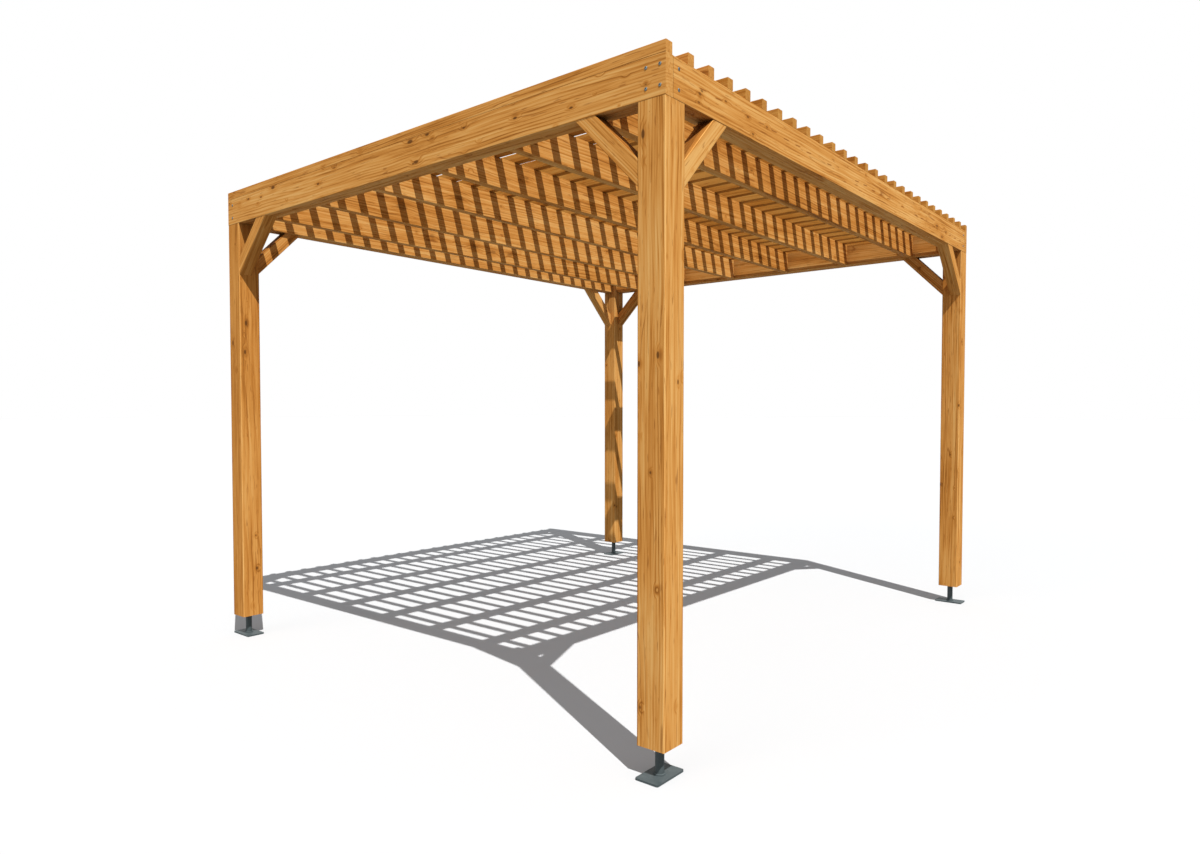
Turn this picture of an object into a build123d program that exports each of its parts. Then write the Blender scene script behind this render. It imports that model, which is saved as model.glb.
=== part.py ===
from build123d import *
import os
from math import sqrt

# A free-standing garden pergola of planed softwood: four posts on steel feet, a ring of
# doubled beams let into the post heads, knee braces, joists between the beams and a roof
# of close-set square slats. Millimetres, +Z up, X along the slats, Y along the joists.
# The origin lies on the ground in the middle of the plan; the front is the -Y side.

# Overall plan, over the outer faces of the beams
roof_width = 3100.0
roof_depth = 3620.0

# Posts
post_side = 120.0
post_height = 2290.0
post_arris = 4.0

# Steel feet
foot_height = 115.0
foot_plate_length = 170.0
foot_plate_width = 100.0
foot_plate_thickness = 8.0
foot_plate_corner = 8.0
foot_stem_diameter = 34.0
foot_weld = 5.0

# Beams, each made of an outer and an inner board
beam_height = 145.0
outer_board = 45.0
inner_board = 45.0
beam_arris = 2.0

# Joists, in equal bays with a narrower bay next to each side beam
joist_count = 6
joist_width = 45.0
joist_height = 145.0
joist_arris = 2.0
edge_bay_share = 0.555

# Knee braces
brace_side = 70.0
brace_reach = 295.0
brace_setback = 2.0
brace_arris = 3.0

# Roof slats
slat_count = 27
slat_width = 40.0
slat_height = 42.0
slat_arris = 2.0
slats_in_group = 3

# Levels and planes that the pieces share
half_width = roof_width / 2
half_depth = roof_depth / 2
beam_thickness = outer_board + inner_board
beam_bottom_z = foot_height + post_height
beam_middle_z = beam_bottom_z + beam_height / 2
beam_top_z = beam_bottom_z + beam_height
post_x = half_width - post_side / 2
post_y = half_depth - post_side / 2


def planed(section_plane, length, width, height, arris):
    """A planed timber with eased long edges, centred on the origin, square to its section."""
    section = section_plane * RectangleRounded(width, height, arris)
    return extrude(section, amount=length / 2, both=True)


def timber_along_x(length, width, height, arris):
    return planed(Plane.YZ, length, width, height, arris)


def timber_along_y(length, width, height, arris):
    return planed(Plane.XZ, length, width, height, arris)


def post(side_x, side_y):
    """A post notched on its two outer sides, so that a tongue stands up behind the beams."""
    section = RectangleRounded(post_side, post_side, post_arris)
    tongue_side = post_side - outer_board
    tongue_square = Rectangle(tongue_side, tongue_side)
    inward = outer_board / 2
    tongue_section = section & Pos(-side_x * inward, -side_y * inward) * tongue_square
    shaft = extrude(section, amount=post_height)
    tongue = Pos(0, 0, post_height) * extrude(tongue_section, amount=beam_height)
    return Pos(side_x * post_x, side_y * post_y, foot_height) * (shaft + tongue)


def foot(side_x, side_y, turn):
    """A flat steel plate with a round stem welded to its middle; the post stands on the stem."""
    outline = RectangleRounded(foot_plate_length, foot_plate_width, foot_plate_corner)
    plate = extrude(outline, amount=foot_plate_thickness)
    stem_radius = foot_stem_diameter / 2
    weld_radius = stem_radius + foot_weld
    half_profile = Polyline(
        (0, 0),
        (weld_radius, 0),
        (weld_radius, foot_plate_thickness),
        (stem_radius, foot_plate_thickness + foot_weld),
        (stem_radius, foot_height),
        (0, foot_height),
        close=True,
    )
    stem = revolve(Plane.XZ * make_face(half_profile), axis=Axis.Z)
    return Pos(side_x * post_x, side_y * post_y) * Rot(0, 0, turn) * (plate + stem)


def brace():
    """A knee brace cut to the corner between a post and a beam, which is its origin.

    It runs out along +X under the beam and down along -Z on the post.
    """
    cut_length = brace_side * sqrt(2)
    outline = Polyline(
        (0, -brace_reach),
        (0, cut_length - brace_reach),
        (brace_reach - cut_length, 0),
        (brace_reach, 0),
        close=True,
    )
    solid = extrude(Plane.XZ * make_face(outline), amount=brace_side / 2, both=True)
    long_edges = solid.edges().filter_by(Axis((0, 0, 0), (1, 0, 1)))
    return fillet(long_edges, brace_arris)


def brace_across(side_x, side_y):
    """The brace of a corner post that lies under the front or back beam."""
    y = half_depth - brace_setback - brace_side / 2
    corner = (side_x * (half_width - post_side), side_y * y, beam_bottom_z)
    return Plane(corner, x_dir=(-side_x, 0, 0), z_dir=(0, 0, 1)) * brace()


def brace_along(side_x, side_y):
    """The brace of a corner post that lies under the left or right beam."""
    x = half_width - brace_setback - brace_side / 2
    corner = (side_x * x, side_y * (half_depth - post_side), beam_bottom_z)
    return Plane(corner, x_dir=(0, -side_y, 0), z_dir=(0, 0, 1)) * brace()


def beam_across(side_y):
    """The outer and inner boards of the front or back beam; the outer one runs corner to corner."""
    outer_y = half_depth - outer_board / 2
    inner_y = half_depth - outer_board - inner_board / 2
    inner_length = roof_width - 2 * post_side
    outer = timber_along_x(roof_width, outer_board, beam_height, beam_arris)
    inner = timber_along_x(inner_length, inner_board, beam_height, beam_arris)
    return (
        Pos(0, side_y * outer_y, beam_middle_z) * outer,
        Pos(0, side_y * inner_y, beam_middle_z) * inner,
    )


def beam_along(side_x):
    """The boards of the left or right beam; the outer one butts against the front and back beams."""
    outer_x = half_width - outer_board / 2
    inner_x = half_width - outer_board - inner_board / 2
    outer_length = roof_depth - 2 * outer_board
    inner_length = roof_depth - 2 * post_side
    outer = timber_along_y(outer_length, outer_board, beam_height, beam_arris)
    inner = timber_along_y(inner_length, inner_board, beam_height, beam_arris)
    return (
        Pos(side_x * outer_x, 0, beam_middle_z) * outer,
        Pos(side_x * inner_x, 0, beam_middle_z) * inner,
    )


def joist(index):
    """A joist between the inner boards of the front and back beams, its top level with theirs."""
    clear_width = roof_width - 2 * beam_thickness
    bays = joist_count - 1 + 2 * edge_bay_share
    pitch = clear_width / bays
    from_middle = index - (joist_count - 1) / 2
    length = roof_depth - 2 * beam_thickness
    timber = timber_along_y(length, joist_width, joist_height, joist_arris)
    return Pos(from_middle * pitch, 0, beam_top_z - joist_height / 2) * timber


def slat(index):
    """A roof slat; the first is flush with the front beam's face and the last with the back one's."""
    pitch = (roof_depth - slat_width) / (slat_count - 1)
    from_middle = index - (slat_count - 1) / 2
    timber = timber_along_x(roof_width, slat_width, slat_height, slat_arris)
    return Pos(0, from_middle * pitch, beam_top_z + slat_height / 2) * timber


pieces = {}

# The corners, and the turn of each foot: two plates lie along X and two along Y, in turn
corners = {
    "front_left": (-1, -1, 0),
    "front_right": (1, -1, 90),
    "back_left": (-1, 1, 90),
    "back_right": (1, 1, 0),
}
for corner_name, (side_x, side_y, foot_turn) in corners.items():
    pieces[corner_name + "_foot"] = foot(side_x, side_y, foot_turn)
    pieces[corner_name + "_post"] = post(side_x, side_y)
    pieces[corner_name + "_cross_brace"] = brace_across(side_x, side_y)
    pieces[corner_name + "_side_brace"] = brace_along(side_x, side_y)

pieces["front_outer_beam"], pieces["front_inner_beam"] = beam_across(-1)
pieces["back_outer_beam"], pieces["back_inner_beam"] = beam_across(1)
pieces["left_outer_beam"], pieces["left_inner_beam"] = beam_along(-1)
pieces["right_outer_beam"], pieces["right_inner_beam"] = beam_along(1)

for joist_index in range(joist_count):
    pieces["joist_" + str(joist_index + 1)] = joist(joist_index)

# The slats in groups of neighbours, from the front to the back
for first_slat in range(0, slat_count, slats_in_group):
    last_slat = min(first_slat + slats_in_group, slat_count)
    group = [slat(slat_index) for slat_index in range(first_slat, last_slat)]
    group_number = first_slat // slats_in_group + 1
    pieces["slats_" + str(group_number)] = Compound(children=group)

os.makedirs("parts", exist_ok=True)
for piece_name, shape in pieces.items():
    export_step(shape, "parts/" + piece_name + ".step")
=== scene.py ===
import random
from math import cos, pi, radians, sin

import bmesh
import bpy
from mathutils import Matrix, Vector


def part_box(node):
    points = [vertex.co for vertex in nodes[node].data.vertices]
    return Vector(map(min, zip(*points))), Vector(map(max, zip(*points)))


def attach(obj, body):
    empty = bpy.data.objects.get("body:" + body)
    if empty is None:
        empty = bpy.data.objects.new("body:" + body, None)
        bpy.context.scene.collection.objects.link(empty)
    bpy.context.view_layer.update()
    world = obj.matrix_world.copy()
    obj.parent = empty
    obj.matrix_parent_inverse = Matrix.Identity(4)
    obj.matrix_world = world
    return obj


# The looks of a wooden pergola: wood and paint on the solids, screws and weld beads that ride
# on it, and the floor, light and camera of the photograph. Metres, +Z up, the front is -Y.
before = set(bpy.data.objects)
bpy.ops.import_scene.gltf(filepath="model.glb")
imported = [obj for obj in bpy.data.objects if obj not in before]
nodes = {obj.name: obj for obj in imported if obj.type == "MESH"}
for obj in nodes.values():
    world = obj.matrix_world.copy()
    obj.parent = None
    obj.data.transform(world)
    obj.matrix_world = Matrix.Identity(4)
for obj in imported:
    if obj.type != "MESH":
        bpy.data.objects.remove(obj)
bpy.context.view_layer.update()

AXIS_X = Vector((1, 0, 0))
AXIS_Y = Vector((0, 1, 0))
AXIS_Z = Vector((0, 0, 1))

# Sizes of the part that the scene needs, in metres
HALF_WIDTH = 1.550
HALF_DEPTH = 1.810
POST_SIDE = 0.120
BOARD = 0.045
BEAM_LOW = 2.405
BEAM_TALL = 0.145
JOIST_COUNT = 6
SLAT_COUNT = 27
SLAT_WIDTH = 0.040
SLAT_TOP = 2.592
SLAT_PITCH = (2 * HALF_DEPTH - SLAT_WIDTH) / (SLAT_COUNT - 1)


class Shader:
    """Short calls that build the node tree of a material or a world."""

    def __init__(self, owner):
        owner.use_nodes = True
        self.owner = owner
        self.tree = owner.node_tree
        self.tree.nodes.clear()

    def node(self, kind, inputs=None, **settings):
        """Adds a node. Each input is a value to set or another node's output to link."""
        made = self.tree.nodes.new("ShaderNode" + kind)
        for key, value in settings.items():
            setattr(made, key, value)
        for key, value in (inputs or {}).items():
            if isinstance(value, bpy.types.NodeSocket):
                self.tree.links.new(value, made.inputs[key])
            else:
                made.inputs[key].default_value = value
        return made

    def math(self, operation, a, b=0.0, c=0.0):
        return self.node("Math", {0: a, 1: b, 2: c}, operation=operation).outputs[0]

    def add(self, *values):
        total = values[0]
        for value in values[1:]:
            total = self.math("ADD", total, value)
        return total

    def times(self, a, b):
        return self.math("MULTIPLY", a, b)

    def scale(self, value, gain, shift=0.0):
        return self.math("MULTIPLY_ADD", value, gain, shift)

    def centred(self, noise, gain):
        """A noise between nought and one, scaled and moved to swing about nought."""
        return self.scale(noise, gain, -gain / 2)

    def apart(self, a, b):
        return self.math("ABSOLUTE", self.math("SUBTRACT", a, b))

    def vector(self, operation, a, b=(0.0, 0.0, 0.0)):
        made = self.node("VectorMath", {0: a, 1: b}, operation=operation)
        return made.outputs["Value" if operation in ("DOT_PRODUCT", "LENGTH") else "Vector"]

    def dot(self, a, b):
        return self.vector("DOT_PRODUCT", a, b)

    def combine(self, x, y, z=0.0):
        return self.node("CombineXYZ", {"X": x, "Y": y, "Z": z}).outputs["Vector"]

    def channels(self, colour):
        return self.node("SeparateColor", {"Color": colour}).outputs

    def noise_node(self, place, stretch, detail, roughness):
        spot = self.vector("MULTIPLY", place, stretch)
        inputs = {"Vector": spot, "Scale": 1.0, "Detail": detail, "Roughness": roughness}
        return self.node("TexNoise", inputs)

    def noise(self, place, stretch, detail=2.0, roughness=0.5):
        return self.noise_node(place, stretch, detail, roughness).outputs["Fac"]

    def three_noises(self, place, stretch, detail=2.0):
        """Noises that differ, as the red, green and blue channels."""
        return self.channels(self.noise_node(place, stretch, detail, 0.5).outputs["Color"])

    def chance(self, number):
        """A random value from nought to one for each number."""
        return self.node("TexWhiteNoise", {"W": number}, noise_dimensions="1D").outputs["Value"]

    def step(self, value, low, high, bottom=0.0, top=1.0):
        """A soft step from bottom to top as the value goes from low to high, or from high to low."""
        inputs = {"Value": value, "From Min": low, "From Max": high, "To Min": bottom, "To Max": top}
        return self.node("MapRange", inputs, interpolation_type="SMOOTHSTEP").outputs["Result"]

    def ramp(self, value, stops):
        made = self.node("ValToRGB", {"Fac": value})
        points = made.color_ramp.elements
        while len(points) < len(stops):
            points.new(1.0)
        for point, (position, colour) in zip(points, stops):
            point.position = position
            point.color = (*colour, 1.0)
        return made.outputs["Color"]

    def mix(self, factor, a, b):
        # A Mix node's colour sockets go by number, as those of its other kinds have the same names
        made = self.node("Mix", {"Factor": factor}, data_type="RGBA")
        for socket, value in zip((made.inputs[6], made.inputs[7]), (a, b)):
            if isinstance(value, bpy.types.NodeSocket):
                self.tree.links.new(value, socket)
            else:
                socket.default_value = (*value, 1.0)
        return made.outputs[2]

    def seen(self):
        """One for rays that end in the picture, and nought for those that only carry light."""
        path = self.node("LightPath").outputs
        through = self.math("MAXIMUM", path["Is Camera Ray"], path["Is Transmission Ray"])
        return self.math("MAXIMUM", through, path["Is Glossy Ray"])

    def surface(self, colour, roughness, height, bump, **constants):
        """Ends the tree with a Principled BSDF whose bump stands out by the given distance."""
        relief = self.node("Bump", {"Height": height, "Distance": bump, "Strength": 1.0})
        inputs = {"Base Color": colour, "Roughness": roughness, "Normal": relief.outputs["Normal"]}
        shader = self.node("BsdfPrincipled", inputs)
        for key, value in constants.items():
            shader.inputs[key.replace("_", " ")].default_value = value
        self.node("OutputMaterial", {"Surface": shader.outputs["BSDF"]})
        return self.owner


def new_shader(name):
    return Shader(bpy.data.materials.new(name))


# Wood tones from the palest early wood to the darkest late wood
WOOD_TONES = (
    (0.0, (0.715, 0.392, 0.123)),
    (0.35, (0.622, 0.283, 0.067)),
    (0.65, (0.488, 0.190, 0.034)),
    (1.0, (0.292, 0.107, 0.019)),
)
# The roof slats are a browner, less red wood
SLAT_TONES = (
    (0.0, (0.630, 0.374, 0.114)),
    (0.35, (0.548, 0.270, 0.062)),
    (0.65, (0.440, 0.177, 0.028)),
    (1.0, (0.272, 0.094, 0.014)),
)
# Across one growth ring: slow darkening, then a sharp edge to the next ring
RING_PROFILE = (
    (0.0, (0.0, 0.0, 0.0)),
    (0.45, (0.12, 0.12, 0.12)),
    (0.80, (0.75, 0.75, 0.75)),
    (0.94, (1.0, 1.0, 1.0)),
    (1.0, (0.0, 0.0, 0.0)),
)
KNOT_COLOUR = (0.100, 0.038, 0.011)
CRACK_COLOUR = (0.255, 0.080, 0.013)
SEAM_DIRT_AND_SHADE = (0.060, 0.030, 0.010)
NOOK_SHADE_COLOUR = (0.030, 0.015, 0.005)
END_COLOUR = (0.560, 0.275, 0.075)
UPWARD_GREY = (0.340, 0.190, 0.070)

# Lengths in the wood's pattern, in metres: the grain's slant is per metre, and the pith lies
# outside the timber between a least and a greatest distance
GRAIN_SLANT = 0.012
GRAIN_WAVE = 0.016
PITH_LEAST, PITH_GREATEST = 0.12, 0.22
PITH_WANDER = 0.04
NOOK_SHADE_REACH = 0.20
WOOD_BUMP = 0.00025

# Faces that turn up: how far they turn up at the start and in full, how grey they get, and how much
# painted shade darkens them
FLAT_TOPS = (0.90, 0.98, 0.45, 0.0)
SHADED_SLANTED_TOPS = (0.55, 0.68, 0.0, 0.55)


def knot_distance(s, place, straight, knotty, spots):
    """How far the nearest knot is, in radii of that knot.

    Small knots are scattered through the timber and drawn out along the grain. The spots are
    knots at known places, each with its radius.
    """
    cells = s.node("TexVoronoi", {"Vector": s.vector("MULTIPLY", place, (0.62, 1.0, 1.0)), "Scale": 15.0})
    luck = s.channels(cells.outputs["Color"])["Red"]
    reach = s.step(luck, 1.0 - 0.62 * knotty, 1.0, 0.010, 0.11)
    nearest = s.math("DIVIDE", cells.outputs["Distance"], reach)
    for spot, radius in spots:
        offset = s.vector("SUBTRACT", straight, spot)
        offset = s.vector("MULTIPLY", offset, Vector((0.45, 1.0, 1.0)) / radius)
        nearest = s.math("MINIMUM", nearest, s.vector("LENGTH", offset))
    return nearest


def late_wood(s, dice, place, length, width, depth, halo, ring, pith):
    """The dark part of the growth rings, which lie round a wandering pith and bend round knots."""
    wander = s.three_noises(place, (1.1, 6.0, 6.0))
    turn = pith + dice.uniform(-0.30, 0.30)
    away = dice.uniform(PITH_LEAST, PITH_GREATEST)
    to_pith = s.combine(
        s.add(width, s.scale(wander["Red"], PITH_WANDER, away * cos(turn) - PITH_WANDER / 2)),
        s.add(depth, s.scale(wander["Green"], PITH_WANDER, away * sin(turn) - PITH_WANDER / 2)),
    )
    rings = s.scale(s.vector("LENGTH", to_pith), 1.0 / ring)
    rings = s.add(rings, s.scale(length, dice.uniform(0.3, 1.2)), s.scale(halo, 1.3))
    year = s.chance(s.math("FLOOR", rings))
    late = s.times(s.ramp(s.math("FRACT", rings), RING_PROFILE), s.scale(year, 0.8, 0.2))
    return s.times(late, s.step(s.noise(place, (2.2, 30.0, 30.0), 1.0), 0.35, 0.65, 0.35, 1.15))


def drying_check(s, length, length_there, depth, wave):
    """A long crack near the middle of the face, broken into short slanting dashes."""
    beat = s.scale(length_there, 9.0)
    part = s.math("FRACT", beat)
    chance = s.chance(s.math("FLOOR", beat))
    centre = s.add(
        s.scale(length, 0.0075),
        s.scale(part, -0.008, 0.004),
        s.centred(chance, 0.008),
        s.centred(wave, 0.016),
    )
    inside = s.step(s.apart(part, 0.5), 0.30, 0.12)
    dash = s.times(s.step(s.apart(depth, centre), 0.0040, 0.0016), inside)
    return s.times(dash, s.step(chance, 0.15, 0.45))


def wood(name, seed, along, across, middle, ring, pith, tones=WOOD_TONES, pitch=0.0, spread=0.20,
         drift=0.0, shift=0.0, contrast=1.0, knotty=1.0, marks=(), dark=0.85, worn=0.0,
         tops=FLAT_TOPS, split=False, seams=()):
    """Sawn softwood as a solid: growth rings round a pith, streaks, knots and drying cracks.

    along, across: the run of the grain, and a direction square to it
    middle: the middle of the timber
    ring, pith: the width of a growth ring, and the angle of the pith from the across direction
    tones: the colours from early to late wood
    pitch: where given, boards side by side at this pitch each have their own grain
    spread, drift: how far timbers differ in tone, and how much darker each board is than the last
    shift, contrast: how much darker the whole timber is, and how strong its grain is
    knotty, marks, dark: how many knots there are, those at known places, each with its three
        coordinates and its radius, and how dark they all are
    worn: half the side of a square timber whose corners get painted shade, with a painted highlight on
    the sunny one
    tops: which upward faces turn grey, and how much painted shade darkens them
    split: whether a long drying crack runs along the faces
    seams: dark joint lines of dirt and painted shade, each with a direction, its distance from
    the middle that way, the way its faces look and its strength
    """
    dice = random.Random(seed)
    s = new_shader(name)
    third = along.cross(across)
    normal = s.node("NewGeometry").outputs["Normal"]
    here = s.vector("SUBTRACT", s.node("TexCoord").outputs["Object"], middle)
    length, width, depth = s.dot(here, along), s.dot(here, across), s.dot(here, third)
    start = dice.uniform(10.0, 90.0)
    if pitch:
        board = s.math("ROUND", s.math("DIVIDE", width, pitch))
        width = s.math("SUBTRACT", width, s.times(board, pitch))
        length_there = s.add(length, s.scale(board, 7.31, start))
        own = s.chance(s.scale(board, 1.37, start))
        tint = s.scale(own, spread, s.scale(board, drift, shift - spread / 2))
    else:
        length_there = s.add(length, start)
        tint = shift + dice.uniform(-spread / 2, spread / 2)

    # The grain slants and waves a little across the board as it runs along
    straight = s.combine(length_there, width, depth)
    wave = s.three_noises(straight, (2.6, 7.0, 7.0), 1.0)
    slant_u = dice.uniform(-GRAIN_SLANT, GRAIN_SLANT)
    slant_v = dice.uniform(-GRAIN_SLANT, GRAIN_SLANT)
    grain_u = s.add(width, s.scale(length, slant_u), s.scale(wave["Red"], GRAIN_WAVE))
    grain_v = s.add(depth, s.scale(length, slant_v), s.scale(wave["Green"], GRAIN_WAVE))
    place = s.combine(length_there, grain_u, grain_v)

    spots = []
    for x, y, z, radius in marks:
        offset = Vector((x, y, z)) - middle
        spots.append(((offset.dot(along) + start, offset.dot(across), offset.dot(third)), radius))
    from_knot = knot_distance(s, place, straight, knotty, spots)
    knot = s.step(from_knot, 1.10, 0.55)
    halo = s.step(from_knot, 3.6, 0.8)
    late = late_wood(s, dice, place, length, grain_u, grain_v, halo, ring, pith)

    # Broad streaks, fine lines and slow changes of tone
    streak = s.noise(place, (0.9, 42.0, 42.0))
    fibre = s.noise(place, (2.4, 100.0, 100.0), 3.0, 0.65)
    cloud = s.noise(place, (1.8, 9.0, 9.0))
    first_up, full_up, greyness, top_painted_shade = tops
    up = s.step(s.dot(normal, AXIS_Z), first_up, full_up)
    tone = s.add(
        s.scale(late, 0.62 * contrast, 0.285 + 0.084 * (1.0 - contrast)),
        s.centred(streak, 0.90 * contrast),
        s.centred(fibre, 1.50 * contrast),
        s.centred(cloud, 0.75 * contrast),
        s.step(fibre, 0.60, 0.76, 0.0, 0.20),
        s.scale(halo, 0.25),
        # painted shade on upward faces, darkening the slanted tops of the braces
        s.scale(up, top_painted_shade),
        tint,
    )
    if worn:
        # Painted shade darkens the corners of a square timber, and a painted highlight lightens the sunny
        # one
        corner = s.math("MINIMUM", s.math("ABSOLUTE", width), s.math("ABSOLUTE", depth))
        corner_shade_and_highlight = s.step(s.math("SUBTRACT", width, depth), 1.6 * worn, 1.9 * worn, 0.22, -0.30)
        tone = s.add(tone, s.times(s.step(corner, worn - 0.008, worn - 0.002), corner_shade_and_highlight))
    colour = s.ramp(tone, tones)

    # Dark resin lines and drying cracks that run with the grain, in dashes
    if split:
        dash = drying_check(s, length, length_there, depth, wave["Blue"])
        colour = s.mix(s.scale(dash, 0.80), colour, CRACK_COLOUR)
    line = s.noise(place, (0.9, 17.0, 17.0), 1.0)
    gate = s.step(s.noise(place, (5.0, 9.0, 9.0), 1.0), 0.52, 0.62)
    crack = s.times(s.step(s.apart(line, 0.5), 0.010, 0.003), gate)
    colour = s.mix(s.scale(crack, 0.62), colour, CRACK_COLOUR)
    fleck = s.step(s.noise(place, (13.0, 150.0, 150.0), 1.0), 0.65, 0.73)
    colour = s.mix(s.scale(fleck, 0.55), colour, CRACK_COLOUR)
    colour = s.mix(s.scale(knot, dark), colour, KNOT_COLOUR)

    # Sawn ends are smoother in tone than the planed faces, and what faces the sky turns greyer
    end = s.step(s.math("ABSOLUTE", s.dot(normal, along)), 0.75, 0.95)
    colour = s.mix(s.scale(end, 0.40), colour, END_COLOUR)
    colour = s.mix(s.scale(up, greyness), colour, UPWARD_GREY)

    # Joint lines are dark with dirt and painted shade, and painted shade darkens the inner corners
    for direction, distance, outward, strength in seams:
        seam = s.step(s.apart(s.dot(here, direction), distance), 0.0032, 0.0012)
        facing = s.step(s.dot(normal, outward), 0.3, 0.6, 0.0, strength)
        colour = s.mix(s.times(seam, facing), colour, SEAM_DIRT_AND_SHADE)
    # Painted shade in the inner corners, as deep as the ambient occlusion finds them
    nook_shade = s.node("AmbientOcclusion", {"Distance": NOOK_SHADE_REACH}, samples=6).outputs["AO"]
    colour = s.mix(s.step(nook_shade, 0.65, 0.15, 0.0, 0.60), colour, NOOK_SHADE_COLOUR)

    roughness = s.add(s.scale(fibre, 0.20, 0.60), s.scale(late, -0.05), s.scale(end, 0.10))
    height = s.add(s.scale(fibre, 0.8), s.scale(late, 0.30), s.scale(crack, -0.5), s.scale(knot, 0.4))
    return s.surface(colour, roughness, height, WOOD_BUMP, Specular_IOR_Level=0.02)


def painted_steel(name):
    """Powder-coated steel: a faint orange-peel skin with dust lying on what faces up."""
    s = new_shader(name)
    place = s.node("TexCoord").outputs["Object"]
    peel = s.noise(place, (650.0, 650.0, 650.0))
    cloud = s.noise(place, (22.0, 22.0, 22.0), 4.0, 0.6)
    grit = s.noise(place, (240.0, 240.0, 240.0), 3.0, 0.7)
    colour = s.ramp(s.add(s.scale(cloud, 0.7), s.scale(peel, 0.3)), (
        (0.3, (0.050, 0.064, 0.066)),
        (0.7, (0.081, 0.099, 0.101)),
    ))
    up = s.dot(s.node("NewGeometry").outputs["Normal"], AXIS_Z)
    lying = s.step(s.scale(grit, 0.6, s.scale(cloud, 0.4)), 0.48, 0.68)
    dust = s.times(s.step(up, 0.6, 0.95), lying)
    colour = s.mix(s.scale(dust, 0.20), colour, (0.20, 0.195, 0.18))
    roughness = s.add(s.scale(cloud, 0.16, 0.40), s.scale(dust, 0.2))
    height = s.add(peel, s.scale(grit, 0.3))
    return s.surface(colour, roughness, height, bump=0.00025, Specular_IOR_Level=0.15)


def zinc_steel(name):
    """Bright zinc on screw heads, dulled in patches."""
    s = new_shader(name)
    place = s.node("TexCoord").outputs["Object"]
    patch = s.noise(place, (300.0, 300.0, 300.0), 3.0, 0.6)
    fine = s.noise(place, (2200.0, 2200.0, 2200.0))
    colour = s.ramp(s.add(s.scale(patch, 0.8), s.scale(fine, 0.2)), (
        (0.3, (0.070, 0.084, 0.086)),
        (0.7, (0.195, 0.220, 0.217)),
    ))
    roughness = s.scale(patch, 0.3, 0.26)
    return s.surface(colour, roughness, fine, bump=0.00006, Metallic=1.0)


def middle_of(node_name):
    low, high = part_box(node_name)
    return (low + high) / 2


def dress(node_name, material):
    for material_slot in nodes[node_name].material_slots:
        material_slot.material = material


# Knots that stand out on the timbers: x, y, z and radius
KNOTS = {
    "front_outer_beam": (
        (0.151, -1.810, 2.535, 0.010), (0.272, -1.810, 2.541, 0.007), (0.193, -1.810, 2.436, 0.009),
        (0.821, -1.810, 2.488, 0.006), (1.119, -1.810, 2.459, 0.005), (-0.601, -1.810, 2.479, 0.006),
        (-1.044, -1.810, 2.538, 0.010), (-1.173, -1.810, 2.508, 0.005),
    ),
    "front_right_post": (
        (1.520, -1.810, 1.514, 0.007), (1.438, -1.810, 1.486, 0.006), (1.454, -1.810, 2.289, 0.009),
        (1.550, -1.729, 1.422, 0.005),
    ),
    "right_outer_beam": (
        (1.550, -1.579, 2.483, 0.005), (1.550, -1.599, 2.438, 0.004), (1.550, -1.239, 2.484, 0.005),
        (1.550, -1.197, 2.428, 0.005), (1.550, -1.080, 2.488, 0.004), (1.550, -1.409, 2.497, 0.004),
        (1.550, 1.160, 2.477, 0.009), (1.550, 1.264, 2.426, 0.008), (1.550, 1.345, 2.471, 0.007),
    ),
    "front_left_post": (
        (-1.430, -1.774, 1.832, 0.008), (-1.430, -1.782, 1.664, 0.007), (-1.516, -1.810, 1.719, 0.008),
    ),
    "joist_1": (
        (-1.172, -0.614, 2.492, 0.012), (-1.172, -0.231, 2.479, 0.016), (-1.172, -0.059, 2.470, 0.014),
        (-1.172, 0.112, 2.474, 0.014),
    ),
    "joist_2": ((-0.694, -1.218, 2.492, 0.020),),
    "joist_3": ((-0.216, -1.198, 2.468, 0.016), (-0.216, -0.894, 2.484, 0.005)),
    "joist_4": ((0.262, -1.178, 2.492, 0.010), (0.262, 1.270, 2.456, 0.014)),
}
# Timbers that are darker or paler than the others
SHIFTS = {
    "front_outer_beam": 0.08,
    "front_left_post": 0.12,
    "front_right_post": -0.03,
    "back_right_post": -0.04,
    "front_right_side_brace": -0.30,
    "front_left_cross_brace": 0.13,
    "front_right_cross_brace": 0.01,
}
# Widths of a growth ring, in metres
WIDE_RING = 0.0130
MIDDLE_RING = 0.0110
NARROW_RING = 0.0080
# How strongly joints show
PLAIN_SEAM = 0.60
FAINT_SEAM = 0.25


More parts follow.
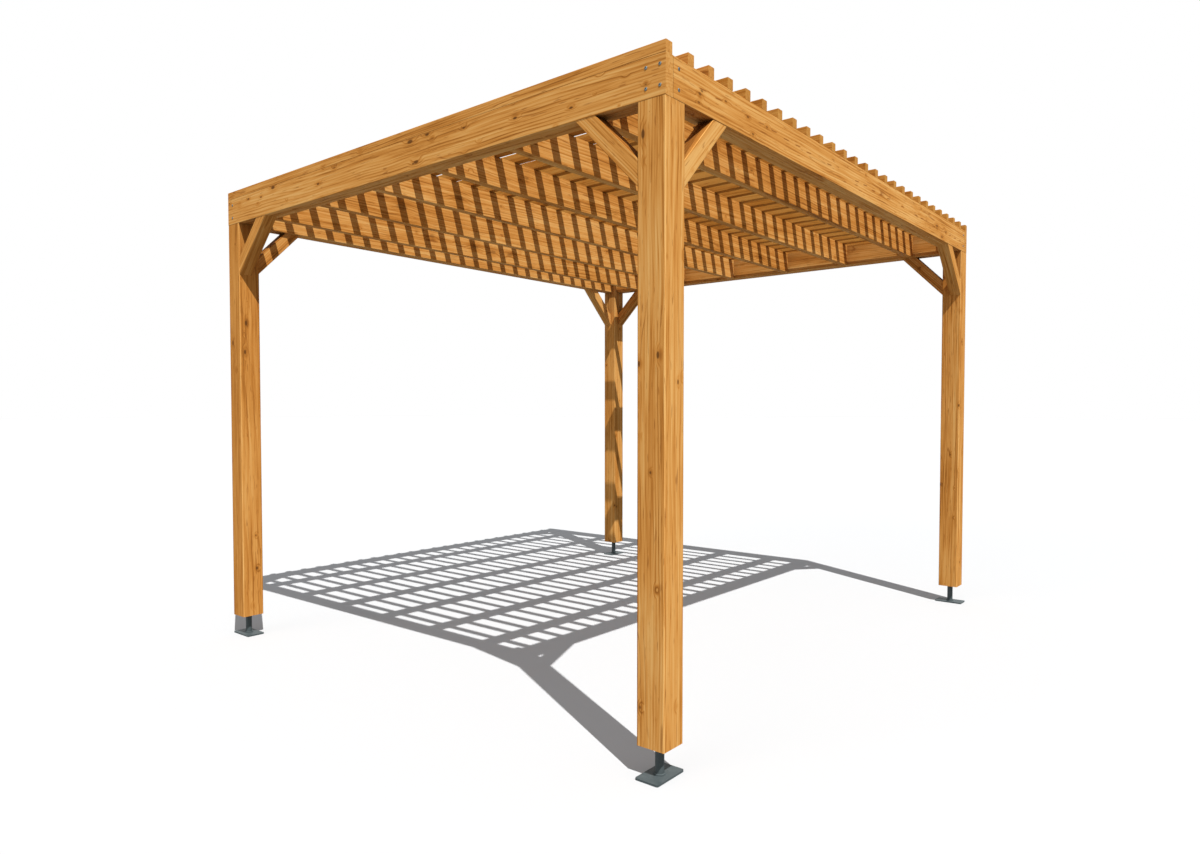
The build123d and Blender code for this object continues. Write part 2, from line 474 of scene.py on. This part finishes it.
def timber(node_name, middle):
    """The run of the grain in a timber, and how its wood differs from the plain kind."""
    side_x = -1 if "left" in node_name else 1
    side_y = -1 if "front" in node_name else 1
    if node_name.startswith("slats"):
        settings = {
            "along": AXIS_X, "across": AXIS_Y, "ring": NARROW_RING, "pith": pi / 4, "tones": SLAT_TONES,
            "pitch": SLAT_PITCH, "spread": 0.14, "shift": 0.20, "contrast": 0.60, "knotty": 0.6,
        }
        if node_name == "slats_1":
            settings.update(tones=WOOD_TONES, shift=0.16, drift=0.12, contrast=0.90)
        return settings

    settings = {
        "ring": WIDE_RING, "pith": pi / 2,
        "shift": SHIFTS.get(node_name, 0.0), "marks": KNOTS.get(node_name, ()),
    }
    if node_name.endswith("post"):
        outward = Vector((side_x, side_y, 0)).normalized()
        # Posts get painted shade on their corners and a painted highlight on their sunny corner
        settings.update(along=AXIS_Z, across=AXIS_X, ring=MIDDLE_RING, pith=pi / 4, worn=POST_SIDE / 2)
        settings["seams"] = ((AXIS_Z, BEAM_LOW - middle.z, outward, PLAIN_SEAM),)
        if node_name == "front_left_post":
            settings["contrast"] = 0.70
    elif node_name.endswith("cross_brace"):
        slope = Vector((-side_x, 0, 1)).normalized()
        settings.update(along=slope, across=AXIS_Y, ring=MIDDLE_RING, tops=SHADED_SLANTED_TOPS)
    elif node_name.endswith("side_brace"):
        slope = Vector((0, -side_y, 1)).normalized()
        settings.update(along=slope, across=AXIS_X, ring=MIDDLE_RING, tops=SHADED_SLANTED_TOPS)
    elif node_name.startswith("joist"):
        settings.update(along=AXIS_Y, across=AXIS_X, dark=0.40)
    elif node_name.startswith(("front", "back")):
        settings.update(along=AXIS_X, across=AXIS_Y)
        if "outer" in node_name:
            settings["seams"] = ((AXIS_Z, BEAM_TALL / 2, AXIS_Y * side_y, FAINT_SEAM),)
    else:
        settings.update(along=AXIS_Y, across=AXIS_X)
        if "outer" in node_name:
            butt = HALF_DEPTH - BOARD
            settings["seams"] = tuple(
                (axis, butt, AXIS_X * side_x, PLAIN_SEAM) for axis in (AXIS_Y, -AXIS_Y)
            )
        if node_name == "right_outer_beam":
            settings.update(dark=0.65, split=True)
    return settings


# Paint on the feet, and on every timber wood with the grain along its length
steel = painted_steel("foot_steel_paint")
for number, node_name in enumerate(sorted(nodes)):
    if node_name.endswith("foot"):
        dress(node_name, steel)
    else:
        middle = middle_of(node_name)
        settings = timber(node_name, middle)
        dress(node_name, wood(node_name + "_wood", number, middle=middle, **settings))


def add_object(name, data):
    made = bpy.data.objects.new(name, data)
    bpy.context.scene.collection.objects.link(made)
    return made


def finish_piece(bm, name, material, smooth_angle=40.0):
    bmesh.ops.recalc_face_normals(bm, faces=bm.faces)
    mesh = bpy.data.meshes.new(name)
    bm.to_mesh(mesh)
    bm.free()
    mesh.materials.append(material)
    mesh.shade_smooth()
    mesh.set_sharp_from_angle(angle=radians(smooth_angle))
    piece = add_object(name, mesh)
    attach(piece, "root")


def add_head(bm, seat, facing, profile, drive, segments=24):
    """A turned screw head with a six-lobed drive, seated on a surface and facing out of it.

    The profile gives radius and height pairs from the rim in to the edge of the drive. The drive
    has a mean radius, the swing of its lobes and the height of its floor.
    """
    side = facing.orthogonal().normalized()
    other = facing.cross(side)
    drive_radius, swing, floor_height = drive

    def add_loop(radius, height, swing=0.0):
        loop = []
        for step in range(segments):
            angle = 2 * pi * step / segments
            reach = radius + swing * cos(6 * angle)
            spot = seat + side * (reach * cos(angle)) + other * (reach * sin(angle)) + facing * height
            loop.append(bm.verts.new(spot))
        return loop

    loops = [add_loop(radius, height) for radius, height in profile]
    edge_height = profile[-1][1]
    loops.append(add_loop(drive_radius, edge_height, swing))
    loops.append(add_loop(drive_radius, floor_height, swing))
    for lower, upper in zip(loops, loops[1:]):
        for step in range(segments):
            after = (step + 1) % segments
            bm.faces.new((lower[step], lower[after], upper[after], upper[step]))
    bm.faces.new(loops[-1])


def add_bead(bm, centre, around=96, section=8):
    """A weld bead that lies round a stem in a ring, with ripples and a slow change of thickness."""
    bead_radius, bead_height = 0.0195, 0.0098
    thickness, ripple, change = 0.0034, 0.0005, 0.0002
    loops = []
    for step in range(around):
        angle = 2 * pi * step / around
        swell = thickness + ripple * sin(24 * angle) + change * sin(7 * angle + centre.x)
        loop = []
        for turn_step in range(section):
            turn = 2 * pi * turn_step / section
            radius = bead_radius + swell * cos(turn)
            loop.append(bm.verts.new((
                centre.x + radius * cos(angle),
                centre.y + radius * sin(angle),
                bead_height + swell * sin(turn),
            )))
        loops.append(loop)
    for step in range(around):
        loop, after = loops[step], loops[(step + 1) % around]
        for turn_step in range(section):
            turn_after = (turn_step + 1) % section
            bm.faces.new((loop[turn_step], after[turn_step], after[turn_after], loop[turn_after]))


# Screws through the outer beams, in pairs at a quarter and three quarters of the beam's height
zinc = zinc_steel("screw_zinc")
BIG_HEAD = ((0.0064, -0.0006), (0.0064, 0.0008), (0.0060, 0.0013), (0.0047, 0.0020), (0.0031, 0.0023))
BIG_DRIVE = (0.0023, 0.0004, 0.0006)
pair_heights = [BEAM_LOW + BEAM_TALL * share for share in (0.25, 0.75)]
# Distances of the pairs from the corner, on the front or back face, then on the left or right face
corner_pairs = {
    (1, -1): ((0.024, 0.084), (0.081,)),
    (-1, -1): ((0.050,), (0.081,)),
    (1, 1): ((0.050,), (0.081,)),
    (-1, 1): ((0.024, 0.084), (0.081,)),
}
beam_screws = bmesh.new()
for (side_x, side_y), (on_y_face, on_x_face) in corner_pairs.items():
    for height in pair_heights:
        for inset in on_y_face:
            spot = Vector((side_x * (HALF_WIDTH - inset), side_y * HALF_DEPTH, height))
            add_head(beam_screws, spot, AXIS_Y * side_y, BIG_HEAD, BIG_DRIVE)
        for inset in on_x_face:
            spot = Vector((side_x * HALF_WIDTH, side_y * (HALF_DEPTH - inset), height))
            add_head(beam_screws, spot, AXIS_X * side_x, BIG_HEAD, BIG_DRIVE)
finish_piece(beam_screws, "beam_screws", zinc)

# One screw down through each slat into every joist and side beam
SMALL_HEAD = ((0.0050, -0.0008), (0.0050, 0.0002), (0.0046, 0.0004), (0.0026, 0.0003))
SMALL_DRIVE = (0.0020, 0.0003, -0.0006)
side_beam_x = HALF_WIDTH - BOARD / 2
lines_x = [middle_of("joist_" + str(index + 1)).x for index in range(JOIST_COUNT)]
lines_x += [-side_beam_x, side_beam_x]
slat_screws = bmesh.new()
for index in range(SLAT_COUNT):
    slat_y = (index - (SLAT_COUNT - 1) / 2) * SLAT_PITCH
    for line_x in lines_x:
        spot = Vector((line_x, slat_y, SLAT_TOP))
        add_head(slat_screws, spot, AXIS_Z, SMALL_HEAD, SMALL_DRIVE, segments=18)
finish_piece(slat_screws, "slat_screws", zinc)

# A rippled weld bead round the foot of each stem
for corner in ("front_left", "front_right", "back_left", "back_right"):
    bead = bmesh.new()
    add_bead(bead, middle_of(corner + "_foot"))
    finish_piece(bead, corner + "_weld", steel, smooth_angle=60.0)

# Floor: pale, and lighter for the camera than for the light that it throws back
FLOOR_BOUNCE = (0.215, 0.215, 0.215)
FLOOR_SEEN = (0.5845, 0.5850, 0.5825)
FLOOR_REACH = 150.0
floor_shader = new_shader("floor_pale")
shade = floor_shader.mix(floor_shader.seen(), FLOOR_BOUNCE, FLOOR_SEEN)
matt = floor_shader.node("BsdfDiffuse", {"Color": shade})
floor_shader.node("OutputMaterial", {"Surface": matt.outputs["BSDF"]})
floor_mesh = bpy.data.meshes.new("floor")
floor_corners = [
    (side_x * FLOOR_REACH, side_y * FLOOR_REACH, 0.0)
    for side_x, side_y in ((-1, -1), (1, -1), (1, 1), (-1, 1))
]
floor_mesh.from_pydata(floor_corners, [], [(0, 1, 2, 3)])
floor_mesh.materials.append(floor_shader.owner)
floor = add_object("floor", floor_mesh)

# Sky: white behind the object, and a dimmer, slightly cool dome as fill light
world = bpy.data.worlds.new("sky")
sky = Shader(world)
dome = sky.node("Background", {"Color": (0.94, 0.985, 1.05, 1.0), "Strength": 0.38})
backdrop = sky.node("Background", {"Color": (1.0, 1.0, 1.0, 1.0), "Strength": 1.0})
either = sky.node("MixShader", {
    "Fac": sky.seen(), 1: dome.outputs["Background"], 2: backdrop.outputs["Background"],
})
sky.node("OutputWorld", {"Surface": either.outputs["Shader"]})
bpy.context.scene.world = world


def add_sun(name, energy, spread, towards):
    """A sun that shines from the given direction, blurred by its spread in degrees."""
    light = bpy.data.lights.new(name, "SUN")
    light.energy = energy
    light.angle = radians(spread)
    lamp = add_object(name, light)
    lamp.rotation_euler = towards.to_track_quat("Z", "Y").to_euler()


# A high sun, from the right and a little from the front
add_sun("sun", energy=4.90, spread=0.4, towards=Vector((0.580, -0.295, 1.0)))
# A soft fill from the front, as bright haze low in the sky would give
add_sun("fill", energy=0.61, spread=50.0, towards=Vector((-0.1, -1.0, 0.35)))

# Camera of the photograph
camera_data = bpy.data.cameras.new("camera")
camera_data.sensor_width = 36.0
camera_data.lens = 24.310
camera_data.shift_x = 0.0018
camera_data.shift_y = 0.0086
camera_data.clip_end = 400.0
camera = add_object("camera", camera_data)
camera.location = (3.1558, -4.1267, 1.3163)
camera.rotation_euler = (radians(90.0 - 1.804), 0.0, radians(39.450))
bpy.context.scene.camera = camera

bpy.context.scene.view_settings.view_transform = "Standard"
